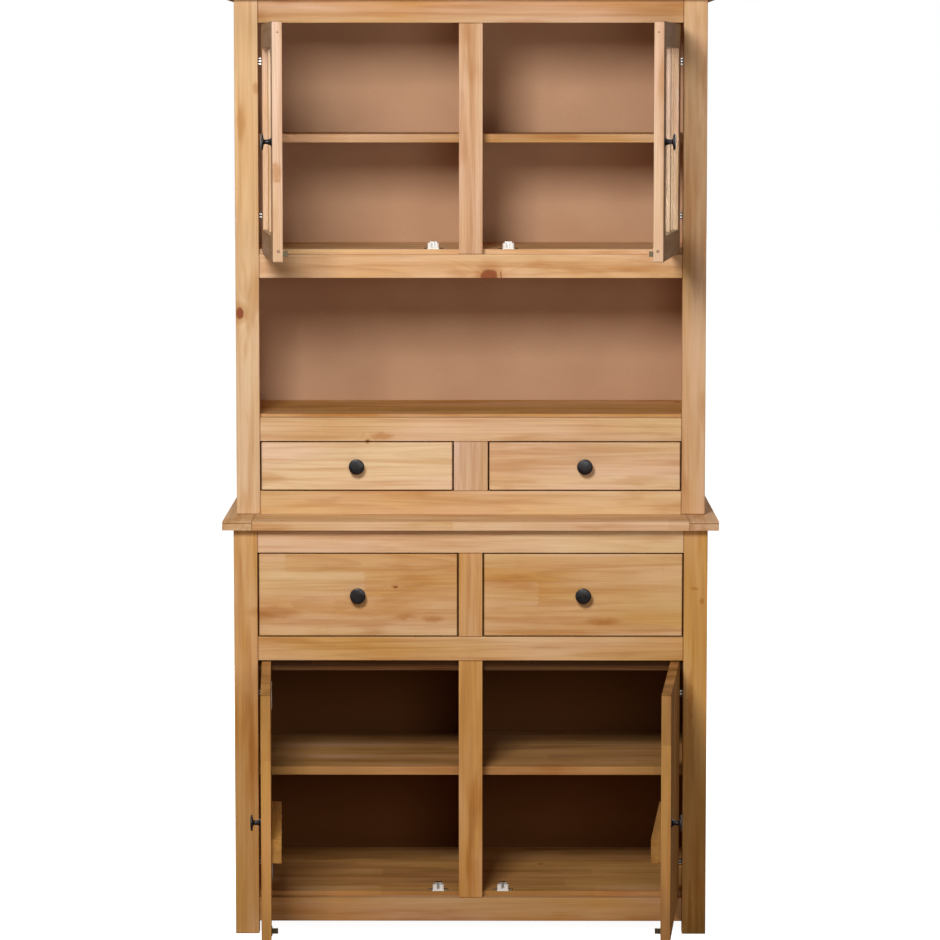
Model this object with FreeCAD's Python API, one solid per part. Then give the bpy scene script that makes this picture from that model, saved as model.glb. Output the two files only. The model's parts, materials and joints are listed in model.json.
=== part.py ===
import FreeCAD, Part
import os

# A two-part pine hutch cabinet, drawn with its doors standing open.
# X runs to the right, Y to the back and Z up. While it is built, X = 0 is the middle of the
# front, Y = 0 the front face of the lower unit and Z = 0 the floor. At the end everything
# moves along Y alone, so that the origin is under the middle of its bounding box.

# Whole cabinet
BODY_WIDTH = 900.0
BODY_DEPTH = 420.0
OVERHANG = 20.0
UPPER_SETBACK = 92.0
HALF = BODY_WIDTH / 2
WORKTOP_WIDTH = BODY_WIDTH + 2 * OVERHANG
WORKTOP_FRONT = -OVERHANG

# Boards
STILE = 45.0
FRAME = 22.0
SIDE = 18.0
BOARD = 16.0
TOP_BOARD = 17.0
BACK = 6.0
BACK_INSET = 4.0
BACK_PLANE = BODY_DEPTH - BACK_INSET - BACK
NOSE = 6.0
EASE = 1.5

# Heights of the lower unit
BOTTOM_RAIL_LOW = 25.0
LOWER_FLOOR_TOP = 78.0
MIDDLE_RAIL_LOW = 530.0
LOWER_DECK_TOP = 532.0
WORKTOP_LOW = 781.5
LOWER_SHELF_TOP = 316.0
LOWER_SHELF_FRONT = 45.0
FOOT = 45.0
DOOR_STOP = 9.0

# Heights of the upper unit
UPPER_BASE = WORKTOP_LOW + TOP_BOARD
COUNTER_RAIL_LOW = 940.0
DISPLAY_TOP = 990.5
FLOOR_RAIL_LOW = 1253.5
UPPER_FLOOR_TOP = 1307.5
UPPER_SHELF_TOP = 1527.0
UPPER_SHELF_FRONT = 40.0
TOP_RAIL_LOW = 1738.5
TOP_LOW = TOP_RAIL_LOW + STILE
DRAWER_MULLION = 65.0

# Breadboard ends of the worktop
END_WIDTH = 55.0

# Doors
DOOR = 18.0
DOOR_GAP = 3.0
PIVOT_IN = 9.5
PIVOT_BACK = 6.0
UPPER_LEFT_DEGREES = 83.4
UPPER_RIGHT_DEGREES = 82.3
LOWER_LEFT_DEGREES = 86.7
LOWER_RIGHT_DEGREES = 84.5
DOOR_STILE = 46.0
GLASS = 3.0
GLASS_PLAY = 0.5
REBATE = 8.0
REBATE_DEPTH = 9.0
MUNTIN = 12.0
MUNTIN_DEPTH = 6.0
BATTEN_LOW = 213.0
BATTEN_HIGH = 257.0
BATTEN_DEPTH = 19.0
BATTEN_IN = 14.0
BATTEN_SHARE = 0.94

# Hinges
HINGE_FROM_END_UPPER = 70.0
HINGE_FROM_END_LOWER = 63.0
CUP_RADIUS = 17.5
CUP_DEPTH = 15.0
CUP_IN = 20.5
FLANGE = 1.5
FLANGE_HEIGHT = 52.0
FLANGE_WIDTH = 20.0
SLOT_HALF = 8.0
SLOT_IN = 13.5
SLOT_DEPTH = 15.5
PIN_RADIUS = 1.75
PIN_HALF = 10.0
PIN_HOLE = 2.1
EYE_RADIUS = 3.0
ARM = 3.0
ARM_HALF = 6.5
ARM_RUN_BACK = 26.0
PLATE_THICK = 6.0
PLATE_LENGTH = 46.0
PLATE_HALF = 10.0

# Drawers
DRAWER_GAP = 2.5
DRAWER_FRONT = 18.0
DRAWER_SIDE = 12.0
DRAWER_BOTTOM = 5.0
DRAWER_BOX_GAP = 8.0
DRAWER_BACK_ROOM = 20.0
DRAWER_BOX_DROP = 12.0
DRAWER_BOX_RISE = 20.0
RUNNER = 14.0

# Knobs
KNOB_RADIUS = 15.0
KNOB_OUT = 19.0
KNOB_PROFILE_SHARES = ((0.53, 0.0), (0.48, 0.1), (0.31, 0.34), (0.27, 0.58), (0.33, 0.74), (0.83, 0.79),
                       (1.0, 0.85), (1.0, 0.94), (0.9, 1.0))
KNOB_FROM_EDGE = 24.0
KNOB_DROP = 11.5

# Catches and small hardware
CATCH_HIGH = 14.0
CATCH_LONG = 22.0
CATCH_BASE = 2.0
CATCH_MIDDLE_UPPER = 72.0
CATCH_MIDDLE_LOWER = 62.0
CATCH_EAR = 1.6
CATCH_EAR_SIZE = 8.0
HOUSING_WIDE = 14.0
HOUSING_BACK = 11.0
ROLLER_RADIUS = 4.5
ROLLER_HIGH = 12.0
ROLLER_GAP = 4.0
STRIKE_WIDE = 15.0
STRIKE_HIGH = 16.0
STRIKE_THICK = 1.5
BLADE_WIDE = 10.0
BLADE_THICK = 2.0
BLADE_LONG = 12.0
PIN_LENGTH = 12.0
SHELF_PIN_RADIUS = 2.5
SHELF_PIN_IN = 60.0

INNER = HALF - STILE
SIDE_INNER = HALF - SIDE
UPPER_BACK = UPPER_SETBACK + FRAME
UPPER_SPAN = (UPPER_BACK, BACK_PLANE)
LOWER_SPAN = (FRAME, BACK_PLANE)


def box(x0, x1, y0, y1, z0, z1):
    """A plain board between two corners."""
    return Part.makeBox(x1 - x0, y1 - y0, z1 - z0, FreeCAD.Vector(x0, y0, z0))


def centred(width, y0, y1, z0, z1):
    """A board as wide as it says, about the middle of the cabinet."""
    return box(-width / 2, width / 2, y0, y1, z0, z1)


def mirrored(shape):
    """The same piece on the other side of the cabinet."""
    return shape.mirror(FreeCAD.Vector(0, 0, 0), FreeCAD.Vector(1, 0, 0))


def pair(shape):
    """A piece on the right and its twin on the left."""
    return [shape, mirrored(shape)]


def cylinder(radius, length, at, along):
    """A round bar from a point along a direction."""
    return Part.makeCylinder(radius, length, FreeCAD.Vector(*at), FreeCAD.Vector(*along))


def eased(shape, pick, radius):
    """Rounds the edges that a test picks."""
    edges = [edge for edge in shape.Edges if pick(edge)]
    return shape.makeFillet(radius, edges)


def front_edge(y):
    """A test for the long edges on the plane of a front."""
    def test(edge):
        ends = [vertex.Point for vertex in edge.Vertexes]
        return all(abs(point.y - y) < EASE / 10 for point in ends)
    return test


def nosed(shape, y, z):
    """Rounds a board's front edge, on top only."""
    def test(edge):
        return all(abs(v.Point.y - y) < EASE and abs(v.Point.z - z) < EASE for v in edge.Vertexes)
    return eased(shape, test, NOSE)


def stiles(front, low, high):
    """The two upright members of a face frame."""
    board = box(INNER, HALF, front, front + FRAME, low, high)
    return pair(eased(board, front_edge(front), EASE))


def rail(front, low, high):
    """A level member of a face frame, between its stiles."""
    return box(-INNER, INNER, front, front + FRAME, low, high)


def side_panels(front, low, high):
    """The boards that close the sides, behind the stiles."""
    return pair(box(SIDE_INNER, HALF, front + FRAME, BODY_DEPTH, low, high))


def level_board(front, top, thick=BOARD, half=SIDE_INNER):
    """A board that lies between the side panels and reaches the back."""
    return box(-half, half, front, BACK_PLANE, top - thick, top)


def shelf_halves(front, top):
    """A loose shelf on each side of the upright divider."""
    board = box(BOARD / 2 + EASE, SIDE_INNER - EASE, front, BACK_PLANE - EASE, top - BOARD, top)
    return pair(board)


def pins_under(front, top):
    """Four round pins that a shelf half rests on, mirrored for the other half."""
    level = top - BOARD - SHELF_PIN_RADIUS
    pins = []
    for y in (front + SHELF_PIN_IN, BACK_PLANE - SHELF_PIN_IN):
        pins.append(cylinder(SHELF_PIN_RADIUS, PIN_LENGTH, (SIDE_INNER, y, level), (-1, 0, 0)))
        pins.append(cylinder(SHELF_PIN_RADIUS, PIN_LENGTH, (BOARD / 2, y, level), (1, 0, 0)))
    return [twin for pin in pins for twin in pair(pin)]


def door_stop(high):
    """The strip under the drawer deck that a lower door closes up to."""
    return box(BOARD / 2, SIDE_INNER, FRAME, FRAME + BOARD, high - DOOR_STOP, high)


def lower_case():
    """The fixed boards of the lower unit."""
    mullion_low = BOTTOM_RAIL_LOW + STILE
    drawer_low = MIDDLE_RAIL_LOW + STILE
    drawer_high = WORKTOP_LOW - STILE
    foot_back = BACK_PLANE
    foot = box(SIDE_INNER - FOOT, SIDE_INNER, foot_back - FOOT, foot_back, 0, LOWER_FLOOR_TOP - BOARD)
    deck_top = LOWER_DECK_TOP
    return {
        "lower_front_legs": stiles(0, 0, WORKTOP_LOW),
        "lower_rear_feet": pair(foot),
        "lower_side_panels": side_panels(0, BOTTOM_RAIL_LOW, WORKTOP_LOW),
        "lower_top_rail": [rail(0, drawer_high, WORKTOP_LOW)],
        "lower_middle_rail": [rail(0, MIDDLE_RAIL_LOW, drawer_low)],
        "lower_bottom_rail": [rail(0, BOTTOM_RAIL_LOW, mullion_low)],
        "lower_mullions": [centred(STILE, 0, FRAME, mullion_low, MIDDLE_RAIL_LOW),
                           centred(STILE, 0, FRAME, drawer_low, drawer_high)],
        "lower_dividers": [centred(BOARD, *LOWER_SPAN, LOWER_FLOOR_TOP, deck_top - BOARD),
                           centred(BOARD, *LOWER_SPAN, deck_top, WORKTOP_LOW)],
        "lower_floor": [level_board(FRAME, LOWER_FLOOR_TOP)],
        "lower_drawer_deck": [level_board(FRAME, deck_top)] + pair(door_stop(deck_top - BOARD)),
        "lower_shelves": shelf_halves(LOWER_SHELF_FRONT, LOWER_SHELF_TOP),
        "lower_back_panel": [centred(2 * SIDE_INNER, BACK_PLANE, BACK_PLANE + BACK,
                                     LOWER_FLOOR_TOP - BOARD, WORKTOP_LOW)],
    }


def worktop():
    """The worktop: a field of boards with a cross board at each end."""
    half = WORKTOP_WIDTH / 2
    split = half - END_WIDTH
    field = box(-split, split, WORKTOP_FRONT, BODY_DEPTH, WORKTOP_LOW, UPPER_BASE)
    end = box(split, half, WORKTOP_FRONT, BODY_DEPTH, WORKTOP_LOW, UPPER_BASE)
    return {
        "worktop_field": [nosed(field, WORKTOP_FRONT, UPPER_BASE)],
        "worktop_ends": pair(nosed(end, WORKTOP_FRONT, UPPER_BASE)),
    }


def upper_case():
    """The fixed boards of the upper unit."""
    front = UPPER_SETBACK
    drawer_low = UPPER_BASE + STILE
    door_low = FLOOR_RAIL_LOW + STILE
    display_low = DISPLAY_TOP - BOARD
    base_top = drawer_low - DRAWER_GAP - RUNNER
    lid = centred(WORKTOP_WIDTH, front + WORKTOP_FRONT, BODY_DEPTH, TOP_LOW, TOP_LOW + TOP_BOARD)
    return {
        "upper_stiles": stiles(front, UPPER_BASE, TOP_LOW),
        "upper_side_panels": side_panels(front, UPPER_BASE, TOP_LOW),
        "upper_top_rail": [rail(front, TOP_RAIL_LOW, TOP_LOW)],
        "upper_floor_rail": [rail(front, FLOOR_RAIL_LOW, door_low)],
        "upper_counter_rail": [rail(front, COUNTER_RAIL_LOW, COUNTER_RAIL_LOW + STILE)],
        "upper_bottom_rail": [rail(front, UPPER_BASE, drawer_low)],
        "upper_mullions": [centred(STILE, front, UPPER_BACK, door_low, TOP_RAIL_LOW),
                           centred(DRAWER_MULLION, front, UPPER_BACK, drawer_low, COUNTER_RAIL_LOW)],
        "upper_dividers": [centred(BOARD, *UPPER_SPAN, UPPER_FLOOR_TOP, TOP_LOW),
                           centred(BOARD, *UPPER_SPAN, base_top, display_low)],
        "upper_floor": [level_board(UPPER_BACK, UPPER_FLOOR_TOP)],
        "display_shelf": [level_board(UPPER_BACK, DISPLAY_TOP)],
        "upper_base_board": [level_board(UPPER_BACK, base_top)],
        "upper_shelves": shelf_halves(front + UPPER_SHELF_FRONT, UPPER_SHELF_TOP),
        "upper_back_panel": [centred(2 * SIDE_INNER, BACK_PLANE, BACK_PLANE + BACK, UPPER_BASE, TOP_LOW)],
        "top_board": [nosed(lid, front + WORKTOP_FRONT, TOP_LOW + TOP_BOARD)],
    }


def knob(at):
    """A turned knob that stands on a front face, its axis pointing forward."""
    corners = [FreeCAD.Vector(wide * KNOB_RADIUS, 0, out * KNOB_OUT) for wide, out in KNOB_PROFILE_SHARES]
    last = FreeCAD.Vector(0, 0, KNOB_OUT)
    outline = Part.makePolygon([FreeCAD.Vector(0, 0, 0)] + corners + [last, FreeCAD.Vector(0, 0, 0)])
    solid = Part.Face(outline).revolve(FreeCAD.Vector(0, 0, 0), FreeCAD.Vector(0, 0, 1), 360)
    solid.rotate(FreeCAD.Vector(0, 0, 0), FreeCAD.Vector(1, 0, 0), 90)
    solid.translate(FreeCAD.Vector(*at))
    return solid


def drawer(side, front, low, high, half_mullion):
    """A drawer between a stile and a mullion: its front, its open box and its knob."""
    inner = half_mullion + DRAWER_GAP
    outer = INNER - DRAWER_GAP
    box_inner = inner + DRAWER_BOX_GAP
    box_outer = outer - DRAWER_BOX_GAP
    y0 = front + DRAWER_FRONT
    y1 = BACK_PLANE - DRAWER_BACK_ROOM
    z0 = low + DRAWER_GAP
    z1 = high - DRAWER_BOX_RISE
    face = box(inner, outer, front, y0, low + DRAWER_GAP, high - DRAWER_GAP)
    floor = box(box_inner + DRAWER_SIDE, box_outer - DRAWER_SIDE, y0, y1 - DRAWER_SIDE,
                z0 + DRAWER_BOX_DROP, z0 + DRAWER_BOX_DROP + DRAWER_BOTTOM)
    pieces = [box(box_inner, box_inner + DRAWER_SIDE, y0, y1, z0, z1),
              box(box_outer - DRAWER_SIDE, box_outer, y0, y1, z0, z1),
              box(box_inner + DRAWER_SIDE, box_outer - DRAWER_SIDE, y1 - DRAWER_SIDE, y1, z0, z1),
              floor]
    handle = knob(((inner + outer) / 2, front, (low + high) / 2))
    eased_face = eased(face, front_edge(front), EASE)
    nodes = {"front": [eased_face], "box": pieces, "knob": [handle]}
    if side == "left":
        nodes = {name: [mirrored(shape) for shape in shapes] for name, shapes in nodes.items()}
    return nodes


def runners(front, low, top_of_deck, half_mullion):
    """The strips that a pair of drawers slide on, mirrored for the other pair."""
    inner = half_mullion + DRAWER_GAP + DRAWER_BOX_GAP
    outer = INNER - DRAWER_GAP - DRAWER_BOX_GAP
    level = low + DRAWER_GAP
    y0 = front + FRAME
    strips = [box(inner, inner + DRAWER_SIDE, y0, BACK_PLANE, top_of_deck, level),
              box(outer - DRAWER_SIDE, outer, y0, BACK_PLANE, top_of_deck, level)]
    return [twin for strip in strips for twin in pair(strip)]


def hinge_heights(low_opening, high_opening, from_end):
    """The two levels of a door's hinges."""
    return (low_opening + DOOR_GAP + from_end, high_opening - DOOR_GAP - from_end)


def slot(front, edge, level):
    """The corner that each door gives up so that the hinge arm can turn in it."""
    back = front + DOOR
    return box(edge - SLOT_IN, edge + EASE, back - SLOT_DEPTH, back + FLANGE,
               level - SLOT_HALF, level + SLOT_HALF)


def cup_blank(front, edge, level):
    """The space that a hinge cup, its flange and its lug fill."""
    back = front + DOOR
    centre = edge - CUP_IN
    puck = cylinder(CUP_RADIUS, CUP_DEPTH, (centre, back - CUP_DEPTH, level), (0, 1, 0))
    flange = box(centre - FLANGE_WIDTH / 2, centre + FLANGE_WIDTH / 2, back, back + FLANGE,
                 level - FLANGE_HEIGHT / 2, level + FLANGE_HEIGHT / 2)
    lug = box(edge - SLOT_IN, edge - EASE, back - SLOT_DEPTH + EASE, back,
              level - SLOT_HALF - EASE * 2, level + SLOT_HALF + EASE * 2)
    return puck.fuse(flange).fuse(lug).removeSplitter()


def cup(front, edge, level):
    """A hinge cup let into the door, with its slot and pin holes."""
    pivot = (edge - PIVOT_IN, front + PIVOT_BACK, level - PIN_HALF - EASE / 3)
    hole = cylinder(PIN_HOLE, 2 * PIN_HALF + EASE, pivot, (0, 0, 1))
    return carve(cup_blank(front, edge, level), [slot(front, edge, level), hole])


def hinge_arm(front, edge, level):
    """The fixed half of a hinge: an eye on the pivot, an arm behind the stile and a plate."""
    x = edge - PIVOT_IN
    y = front + PIVOT_BACK
    eye = cylinder(EYE_RADIUS, 2 * ARM_HALF, (x, y, level - ARM_HALF), (0, 0, 1))
    pin = cylinder(PIN_RADIUS, 2 * PIN_HALF, (x, y, level - PIN_HALF), (0, 0, 1))
    turn = front + ARM_RUN_BACK
    run = box(x - ARM / 2, x + ARM / 2, y, turn, level - ARM_HALF, level + ARM_HALF)
    cross = box(x - ARM / 2, SIDE_INNER - PLATE_THICK, turn - ARM, turn, level - ARM_HALF, level + ARM_HALF)
    plate = box(SIDE_INNER - PLATE_THICK, SIDE_INNER, turn - ARM, turn - ARM + PLATE_LENGTH,
                level - PLATE_HALF, level + PLATE_HALF)
    return eye.fuse(pin).fuse(run).fuse(cross).fuse(plate).removeSplitter()


def strike(front, middle, floor_top):
    """The plate on a door's inner face, with the blade that its catch holds."""
    back = front + DOOR
    level = floor_top + CATCH_HIGH / 2
    plate = box(middle - STRIKE_WIDE / 2, middle + STRIKE_WIDE / 2, back, back + STRIKE_THICK,
                level - STRIKE_HIGH / 2, level + STRIKE_HIGH / 2)
    blade = box(middle - BLADE_THICK / 2, middle + BLADE_THICK / 2, back + STRIKE_THICK, back + BLADE_LONG,
                level - BLADE_WIDE / 2, level + BLADE_WIDE / 2)
    return plate.fuse(blade)


def glazed_frame(front, free, edge, low, high):
    """The door's stiles, rails and muntin, rebated behind for the glass, and the pane."""
    back = front + DOOR
    whole = box(free, edge, front, back, low, high)
    window = box(free + DOOR_STILE, edge - DOOR_STILE, front, back, low + DOOR_STILE, high - DOOR_STILE)
    shoulder = DOOR_STILE - REBATE
    seat = box(free + shoulder, edge - shoulder, back - REBATE_DEPTH, back, low + shoulder, high - shoulder)
    outline = front_edge(front)
    frame = eased(whole.cut(window).cut(seat),
                  lambda line: outline(line) and on_rim(line, free, edge, low, high), EASE)
    left = free + DOOR_STILE
    right = edge - DOOR_STILE
    parts = [box(free, left, front, back, low, high), box(right, edge, front, back, low, high),
             box(left, right, front, back, low, low + DOOR_STILE),
             box(left, right, front, back, high - DOOR_STILE, high)]
    middle = (free + edge) / 2
    bar_front = back - REBATE_DEPTH - MUNTIN_DEPTH
    bar = box(middle - MUNTIN / 2, middle + MUNTIN / 2, bar_front, back - REBATE_DEPTH,
              low + DOOR_STILE, high - DOOR_STILE)
    play = shoulder + GLASS_PLAY
    pane = box(free + play, edge - play, back - REBATE_DEPTH, back - REBATE_DEPTH + GLASS,
               low + play, high - play)
    return [frame.common(part) for part in parts] + [bar], pane


def on_rim(edge, x0, x1, z0, z1):
    """A test for the edges round a door's outside."""
    def near(point):
        sides = (abs(point.x - x0), abs(point.x - x1), abs(point.z - z0), abs(point.z - z1))
        return min(sides) < EASE / 10
    return all(near(vertex.Point) for vertex in edge.Vertexes)


def door(front, low_opening, high_opening, from_end, catch_middle, floor_top, glazed):
    """One door's pieces, drawn closed on the right."""
    free = STILE / 2 + DOOR_GAP
    edge = INNER - DOOR_GAP
    low = low_opening + DOOR_GAP
    high = high_opening - DOOR_GAP
    back = front + DOOR
    levels = hinge_heights(low_opening, high_opening, from_end)
    knob_level = (low + high) / 2 - (0 if glazed else KNOB_DROP)
    tools = [slot(front, edge, level) for level in levels]
    tools += [cup_blank(front, edge, level) for level in levels]
    nodes = {
        "fittings": [cup(front, edge, level) for level in levels] + [strike(front, catch_middle, floor_top)],
        "knob": [knob((free + KNOB_FROM_EDGE, front, knob_level))],
    }
    if glazed:
        members, pane = glazed_frame(front, free, edge, low, high)
        nodes["frame"] = [carve(member, tools) for member in members]
        nodes["glass"] = [pane]
        return nodes
    panel = eased(box(free, edge, front, back, low, high), front_edge(front), EASE)
    length = (edge - free) * BATTEN_SHARE
    nodes["panel"] = [carve(panel, tools)]
    batten = box(edge - length, edge - BATTEN_IN, back, back + BATTEN_DEPTH, BATTEN_LOW, BATTEN_HIGH)
    nodes["batten"] = [batten]
    return nodes


def opened_door(side, front, angle, nodes):
    """Turns a door about its hinge pins, and mirrors it if it is on the left."""
    pivot = FreeCAD.Vector(INNER - DOOR_GAP - PIVOT_IN, front + PIVOT_BACK, 0)
    turned = {}
    for name, shapes in nodes.items():
        moved = [shape.copy() for shape in shapes]
        for shape in moved:
            shape.rotate(pivot, FreeCAD.Vector(0, 0, 1), angle)
        turned[name] = moved if side == "right" else [mirrored(shape) for shape in moved]
    return turned


def carve(shape, tools):
    """A piece with each tool taken out of it."""
    for tool in tools:
        shape = shape.cut(tool)
    return shape


def catch_body(middle, y0, floor_top):
    """A catch's base, the housing behind and the two upright rollers that grip a blade."""
    half = ROLLER_GAP / 2 + 2 * ROLLER_RADIUS
    level = floor_top + CATCH_BASE
    body = box(middle - half, middle + half, y0, y0 + CATCH_LONG, floor_top, level)
    housing = box(middle - HOUSING_WIDE / 2, middle + HOUSING_WIDE / 2, y0 + HOUSING_BACK, y0 + CATCH_LONG,
                  level, floor_top + CATCH_HIGH)
    body = body.fuse(housing)
    for way in (-1, 1):
        x = middle + way * (ROLLER_GAP / 2 + ROLLER_RADIUS)
        roller = cylinder(ROLLER_RADIUS, ROLLER_HIGH - CATCH_BASE, (x, y0 + ROLLER_RADIUS, level), (0, 0, 1))
        body = body.fuse(roller)
    return body.removeSplitter()


def catches(front, middle, floor_top):
    """Roller catches on a floor, one for each door, with their screw ears."""
    y0 = front + FRAME + EASE / 3
    half = ROLLER_GAP / 2 + 2 * ROLLER_RADIUS
    ear_y = y0 + (CATCH_LONG - CATCH_EAR_SIZE) / 2
    ears = [box(x0, x0 + CATCH_EAR_SIZE, ear_y, ear_y + CATCH_EAR_SIZE, floor_top, floor_top + CATCH_EAR)
            for x0 in (middle - half - CATCH_EAR_SIZE, middle + half)]
    return [twin for piece in [catch_body(middle, y0, floor_top)] + ears for twin in pair(piece)]


def drawers():
    """The four drawers, each of its own nodes."""
    rows = {
        "upper": (UPPER_SETBACK, UPPER_BASE + STILE, COUNTER_RAIL_LOW, DRAWER_MULLION / 2),
        "lower": (0, MIDDLE_RAIL_LOW + STILE, WORKTOP_LOW - STILE, STILE / 2),
    }
    nodes = {}
    for row, sizes in rows.items():
        for side in ("left", "right"):
            for name, shapes in drawer(side, *sizes).items():
                nodes[f"{row}_drawer_{side}_{name}"] = shapes
    return nodes


def doors():
    """The four doors, each of its own nodes, at the angles they stand open."""
    upper = door(UPPER_SETBACK, FLOOR_RAIL_LOW + STILE, TOP_RAIL_LOW, HINGE_FROM_END_UPPER,
                 CATCH_MIDDLE_UPPER, UPPER_FLOOR_TOP, True)
    lower = door(0, BOTTOM_RAIL_LOW + STILE, MIDDLE_RAIL_LOW, HINGE_FROM_END_LOWER,
                 CATCH_MIDDLE_LOWER, LOWER_FLOOR_TOP, False)
    opened = {
        "upper_door_left": opened_door("left", UPPER_SETBACK, UPPER_LEFT_DEGREES, upper),
        "upper_door_right": opened_door("right", UPPER_SETBACK, UPPER_RIGHT_DEGREES, upper),
        "lower_door_left": opened_door("left", 0, LOWER_LEFT_DEGREES, lower),
        "lower_door_right": opened_door("right", 0, LOWER_RIGHT_DEGREES, lower),
    }
    return {f"{name}_{piece}": shapes for name, pieces in opened.items() for piece, shapes in pieces.items()}


def hardware():
    """The small fixed pieces: runners, shelf pins, catches and hinge arms."""
    edge = INNER - DOOR_GAP
    upper_levels = hinge_heights(FLOOR_RAIL_LOW + STILE, TOP_RAIL_LOW, HINGE_FROM_END_UPPER)
    lower_levels = hinge_heights(BOTTOM_RAIL_LOW + STILE, MIDDLE_RAIL_LOW, HINGE_FROM_END_LOWER)
    arms = [hinge_arm(UPPER_SETBACK, edge, level) for level in upper_levels]
    arms += [hinge_arm(0, edge, level) for level in lower_levels]
    upper_low = UPPER_BASE + STILE
    lower_low = MIDDLE_RAIL_LOW + STILE
    base_top = upper_low - DRAWER_GAP - RUNNER
    return {
        "drawer_runners": runners(UPPER_SETBACK, upper_low, base_top, DRAWER_MULLION / 2)
        + runners(0, lower_low, LOWER_DECK_TOP, STILE / 2),
        "shelf_pins": pins_under(UPPER_SETBACK + UPPER_SHELF_FRONT, UPPER_SHELF_TOP)
        + pins_under(LOWER_SHELF_FRONT, LOWER_SHELF_TOP),
        "door_catches": catches(UPPER_SETBACK, CATCH_MIDDLE_UPPER, UPPER_FLOOR_TOP)
        + catches(0, CATCH_MIDDLE_LOWER, LOWER_FLOOR_TOP),
        "hinge_arms": [twin for arm in arms for twin in pair(arm)],
    }


def build():
    """Every node of the cabinet, as a list of solids under its name."""
    nodes = {}
    for group in (lower_case(), worktop(), upper_case(), hardware(), drawers(), doors()):
        nodes.update(group)
    return nodes


def shift_to_middle(nodes):
    """How far everything moves along Y for the origin to be under the middle."""
    whole = Part.makeCompound([shape for shapes in nodes.values() for shape in shapes])
    bounds = whole.BoundBox
    return -(bounds.YMin + bounds.YMax) / 2


def write(nodes):
    """Writes one STEP file for each node and says what it holds."""
    os.makedirs("parts", exist_ok=True)
    shift = FreeCAD.Vector(0, shift_to_middle(nodes), 0)
    for name, shapes in nodes.items():
        for shape in shapes:
            shape.translate(shift)
        shape = shapes[0] if len(shapes) == 1 else Part.makeCompound(shapes)
        assert all(solid.isValid() for solid in shape.Solids), name
        shape.exportStep(f"parts/{name}.step")
    print(len(nodes), "nodes, moved along Y by", round(shift.y, 3))


if __name__ == "__main__":
    write(build())
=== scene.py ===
# %% [markdown]
# # A pine hutch cabinet
# This lesson dresses a tall two-part pine hutch. The frame holds every board at its real size. What
# is left is what the eye looks for: eased edges, grain that runs along each board, varnish, turned
# black knobs, steel hinges, glass and screws. The frame comes first, because every piece of the
# scene stands where it says.

# %% Load the frame
import json
import math
import random

import bmesh
import bpy
from mathutils import Matrix, Vector

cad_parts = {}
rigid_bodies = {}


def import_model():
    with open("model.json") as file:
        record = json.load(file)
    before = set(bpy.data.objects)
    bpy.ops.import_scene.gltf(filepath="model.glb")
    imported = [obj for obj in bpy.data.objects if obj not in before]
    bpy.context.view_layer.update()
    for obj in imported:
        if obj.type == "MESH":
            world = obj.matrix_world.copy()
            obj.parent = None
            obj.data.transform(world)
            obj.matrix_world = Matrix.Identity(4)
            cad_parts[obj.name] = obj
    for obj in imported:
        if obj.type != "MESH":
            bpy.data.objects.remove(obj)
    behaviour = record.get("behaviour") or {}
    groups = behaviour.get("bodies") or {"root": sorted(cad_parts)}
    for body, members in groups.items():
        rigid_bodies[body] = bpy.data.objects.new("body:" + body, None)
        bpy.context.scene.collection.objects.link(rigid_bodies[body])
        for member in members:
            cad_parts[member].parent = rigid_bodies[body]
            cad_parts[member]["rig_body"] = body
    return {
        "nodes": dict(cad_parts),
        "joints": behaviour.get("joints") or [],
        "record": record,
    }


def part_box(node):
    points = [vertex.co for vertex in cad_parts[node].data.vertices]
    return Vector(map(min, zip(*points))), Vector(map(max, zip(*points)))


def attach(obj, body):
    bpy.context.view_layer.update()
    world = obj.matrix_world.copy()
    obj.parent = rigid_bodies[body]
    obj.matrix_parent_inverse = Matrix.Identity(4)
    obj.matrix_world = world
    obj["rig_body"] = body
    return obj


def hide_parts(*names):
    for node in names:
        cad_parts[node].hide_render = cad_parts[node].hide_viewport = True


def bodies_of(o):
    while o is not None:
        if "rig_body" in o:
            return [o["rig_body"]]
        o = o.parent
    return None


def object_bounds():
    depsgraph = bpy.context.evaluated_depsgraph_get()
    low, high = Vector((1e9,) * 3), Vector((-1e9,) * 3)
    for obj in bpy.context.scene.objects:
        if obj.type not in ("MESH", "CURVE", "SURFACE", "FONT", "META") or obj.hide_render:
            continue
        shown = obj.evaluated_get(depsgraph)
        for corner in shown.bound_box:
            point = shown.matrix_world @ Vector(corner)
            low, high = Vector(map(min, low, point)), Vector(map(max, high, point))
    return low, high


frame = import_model()
cad_low, cad_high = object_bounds()
MM = 0.001

# %% [markdown]
# ## The camera
# A catalogue photograph of tall furniture is taken from far away with a long lens, so that the
# upright edges stay almost parallel. The camera's place was worked out from the perspective of the
# shelves, the worktop and the open doors. A sensor 36 mm wide for an image 940 pixels wide turns
# that into a focal length. The picture was cropped more at the top than at the bottom, which a small
# shift of the lens repeats.

# %% Camera
IMAGE_WIDTH = 940
SENSOR = 36.0
FOCAL_PIXELS = 3472.6
CAMERA_X = 0.0262
CAMERA_IN_FRONT = 6.5375
CAMERA_HIGH = 1.6242
CAMERA_DOWN = 5.30
CAMERA_LEFT = 0.239
CROP_PIXELS = 64.7


def in_scene(name, data):
    """A new object in the scene."""
    made = bpy.data.objects.new(name, data)
    bpy.context.scene.collection.objects.link(made)
    return made


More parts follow.
